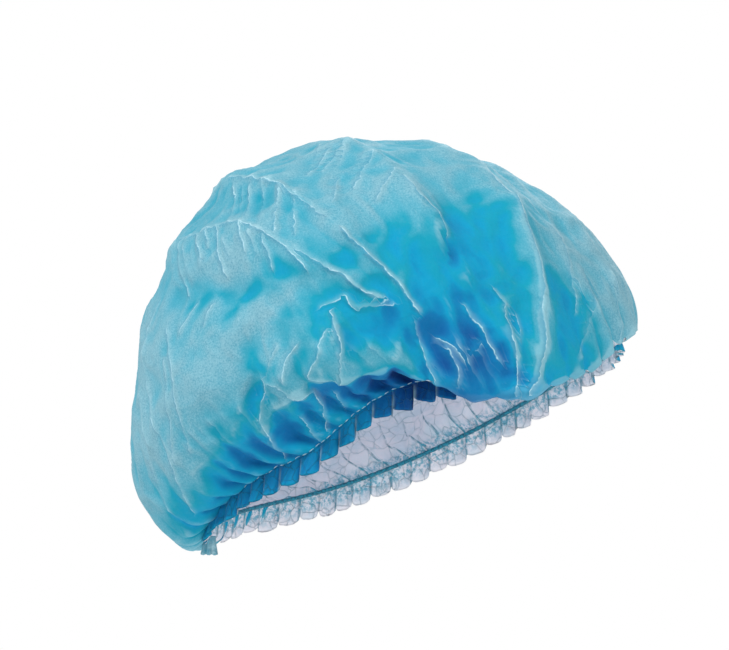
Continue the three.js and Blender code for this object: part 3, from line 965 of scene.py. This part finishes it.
def make_stitches():
    """The row of stitches that gathers the cloth on to the elastic, each a short thick thread."""
    mean_radius = (ELASTIC_LENGTH + ELASTIC_WIDTH) / 4
    loop = math.pi * (3 * mean_radius - math.sqrt(ELASTIC_LENGTH * ELASTIC_WIDTH) / 2)
    count = round(loop / STITCH_PITCH)
    sides = 6
    angle = 2 * np.pi * np.arange(sides) / sides
    tapers = np.array([0.3, 0.9, 1, 0.9, 0.3])
    steps = np.linspace(-0.5, 0.5, len(tapers)) * STITCH_LENGTH / loop * 2 * np.pi
    sinking = (2 * np.abs(steps[:, None]) / steps[-1] - 1).clip(0)
    radius = STITCH_THICKNESS / 2 * tapers[:, None, None]
    points, faces = [], []
    for k in range(count):
        along = 2 * np.pi * (k + 0.2 * math.sin(7 * k)) / count + steps
        _, out = rim_frame(along)
        path = crown_surface(along, np.full(len(along), STITCH_SECTION)) + out * (0.35 - 0.35 * sinking)
        faces.append(tube_faces(len(tapers), sides, False) + len(points) * len(tapers) * sides)
        points.append((path[:, None, :] + radius * ring_around(out, angle)).reshape(-1, 3))
    material = thread("stitching thread", srgb(190, 222, 234), srgb(120, 186, 210))
    points, faces = np.concatenate(points), np.concatenate(faces)
    return mesh_object("gather_stitches", to_row(points), faces, [material])


def welded_cloth():
    """Frosted cloth with the small dots of a weld pressed into it."""
    nodes = Nodes("tab cloth")
    place = nodes.place()
    welds = nodes.add("TexVoronoi", {"Vector": place, "Scale": 700.0}, "Distance")
    mottle = nodes.noise(place, 260.0, 4.0)
    color = nodes.ramp(mottle, [(0.3, GLINT), (0.5, FROST), (0.75, PALE)])
    color = nodes.mix(nodes.span(welds, 0.15, 0.3, 0.3, 0.0), color, CYAN)
    return finish_cloth(nodes, color, mottle)


def make_tab():
    """The pinched and welded tail of the strip at the nape: a little fan of cloth."""
    across, down = 13, 12
    u, v = np.meshgrid(np.linspace(-0.5, 0.5, across), np.linspace(0, 1, down), indexing="ij")
    run = TAB_FOOT - TAB_TOP
    side = unit(np.array([-run[2], 0, run[0]]))
    width = TAB_TOP_WIDTH + (TAB_FOOT_WIDTH - TAB_TOP_WIDTH) * v ** 1.3
    gathers = u * TAB_GATHERS * 2 * np.pi + 0.7
    ripple = 0.6 * np.sin(gathers) * (0.35 + 0.65 * v) * (1 + 0.3 * np.sin(5 * v))
    skirt = 1.0 + 0.03 * np.cos(gathers)
    sheet = (TAB_TOP + run * (v * skirt)[..., None] + side * (u * width)[..., None]
             + np.array([0, 1, 0]) * ripple[..., None])
    other = sheet + np.array([0, TAB_THICKNESS, 0])
    points = np.concatenate([sheet.reshape(-1, 3), other.reshape(-1, 3)])
    shift = across * down
    i, j = np.meshgrid(np.arange(across - 1), np.arange(down - 1), indexing="ij")
    a = (i * down + j).ravel()
    quads = np.stack([a, a + 1, a + 1 + down, a + down], -1)
    border = np.concatenate([np.arange(across) * down, (across - 1) * down + np.arange(1, down),
                             np.arange(across - 2, -1, -1) * down + down - 1, np.arange(down - 2, 0, -1)])
    after = np.roll(border, -1)
    rim = np.stack([border, after, after + shift, border + shift], -1)
    faces = np.concatenate([quads, quads[:, ::-1] + shift, rim])
    return mesh_object("tab_cloth", to_row(points), faces, [welded_cloth()])


def make_floor():
    """A round, pale floor under the cap."""
    sides = 64
    angle = 2 * np.pi * np.arange(sides) / sides
    level = np.full(sides, FLOOR_LEVEL)
    points = np.stack([FLOOR_RADIUS * np.cos(angle), FLOOR_RADIUS * np.sin(angle), level], -1)
    nodes = Nodes("pale floor")
    color = nodes.mix(nodes.noise(nodes.place(), 3.0, 2.0), (0.86, 0.87, 0.88, 1), (0.9, 0.9, 0.9, 1))
    nodes.put(nodes.shader.inputs["Base Color"], color)
    nodes.shader.inputs["Roughness"].default_value = 0.9
    return mesh_object("floor", points, np.arange(sides)[None, :], [nodes.material])


def make_camera():
    """The camera at the photo's angle and scale."""
    level = math.cos(CAMERA_ELEVATION)
    back = np.array([math.sin(CAMERA_AZIMUTH) * level, -math.cos(CAMERA_AZIMUTH) * level,
                     math.sin(CAMERA_ELEVATION)])
    right = np.array([math.cos(CAMERA_AZIMUTH), math.sin(CAMERA_AZIMUTH), 0])
    up = np.cross(back, right)
    place = right * PHOTO_MIDDLE[0] + up * PHOTO_MIDDLE[1] + back * CAMERA_DISTANCE
    data = bpy.data.cameras.new("camera")
    data.sensor_width = SENSOR
    data.lens = SENSOR * CAMERA_DISTANCE / (PHOTO_WIDTH * PIXEL * MM)
    camera = bpy.data.objects.new("camera", data)
    matrix = np.eye(4)
    matrix[:3, 0], matrix[:3, 1], matrix[:3, 2], matrix[:3, 3] = right, up, back, place
    camera.matrix_world = Matrix(matrix.tolist())
    bpy.context.scene.collection.objects.link(camera)
    bpy.context.scene.camera = camera


def area_light(name, place, size, power, target=(0, 0, 0.03)):
    data = bpy.data.lights.new(name, "AREA")
    data.shape = "DISK"
    data.size = size
    data.energy = power
    lamp = bpy.data.objects.new(name, data)
    lamp.location = place
    lamp.rotation_euler = (Vector(target) - Vector(place)).to_track_quat("-Z", "Y").to_euler()
    bpy.context.scene.collection.objects.link(lamp)


def make_studio():
    """White surroundings that look brighter than they light, and three soft lamps."""
    world = bpy.data.worlds.new("studio")
    bpy.context.scene.world = world
    world.use_nodes = True
    nodes, links = world.node_tree.nodes, world.node_tree.links
    nodes.clear()
    seen = nodes.new("ShaderNodeBackground")
    seen.inputs["Strength"].default_value = 1.0
    lit = nodes.new("ShaderNodeBackground")
    lit.inputs["Strength"].default_value = 0.5
    for shader in (seen, lit):
        shader.inputs["Color"].default_value = (1, 1, 1, 1)
    path = nodes.new("ShaderNodeLightPath")
    mix = nodes.new("ShaderNodeMixShader")
    out = nodes.new("ShaderNodeOutputWorld")
    links.new(path.outputs["Is Camera Ray"], mix.inputs[0])
    links.new(lit.outputs[0], mix.inputs[1])
    links.new(seen.outputs[0], mix.inputs[2])
    links.new(mix.outputs[0], out.inputs[0])
    bpy.context.scene.view_settings.view_transform = "Standard"
    area_light("key", (-0.9, -1.1, 1.3), 0.7, 22)
    area_light("fill", (1.3, -0.9, 0.6), 0.8, 8)
    area_light("back", (0.2, 1.4, 1.0), 0.9, 12)


make_camera()
make_studio()
crown = make_crown()
hem = make_hem()
elastic = make_elastic()
stitches = make_stitches()
tab = make_tab()
for piece, slot_name in ((crown, "crown_cloth"), (hem, "hem_cloth"), (elastic, "elastic"),
                         (stitches, "hem_cloth"), (tab, "hem_cloth")):
    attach(piece, "root")
for piece, node in ((crown, "crown"), (hem, "hem_frill"), (elastic, "elastic_band"), (tab, "back_tab")):
    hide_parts(node)
make_floor()
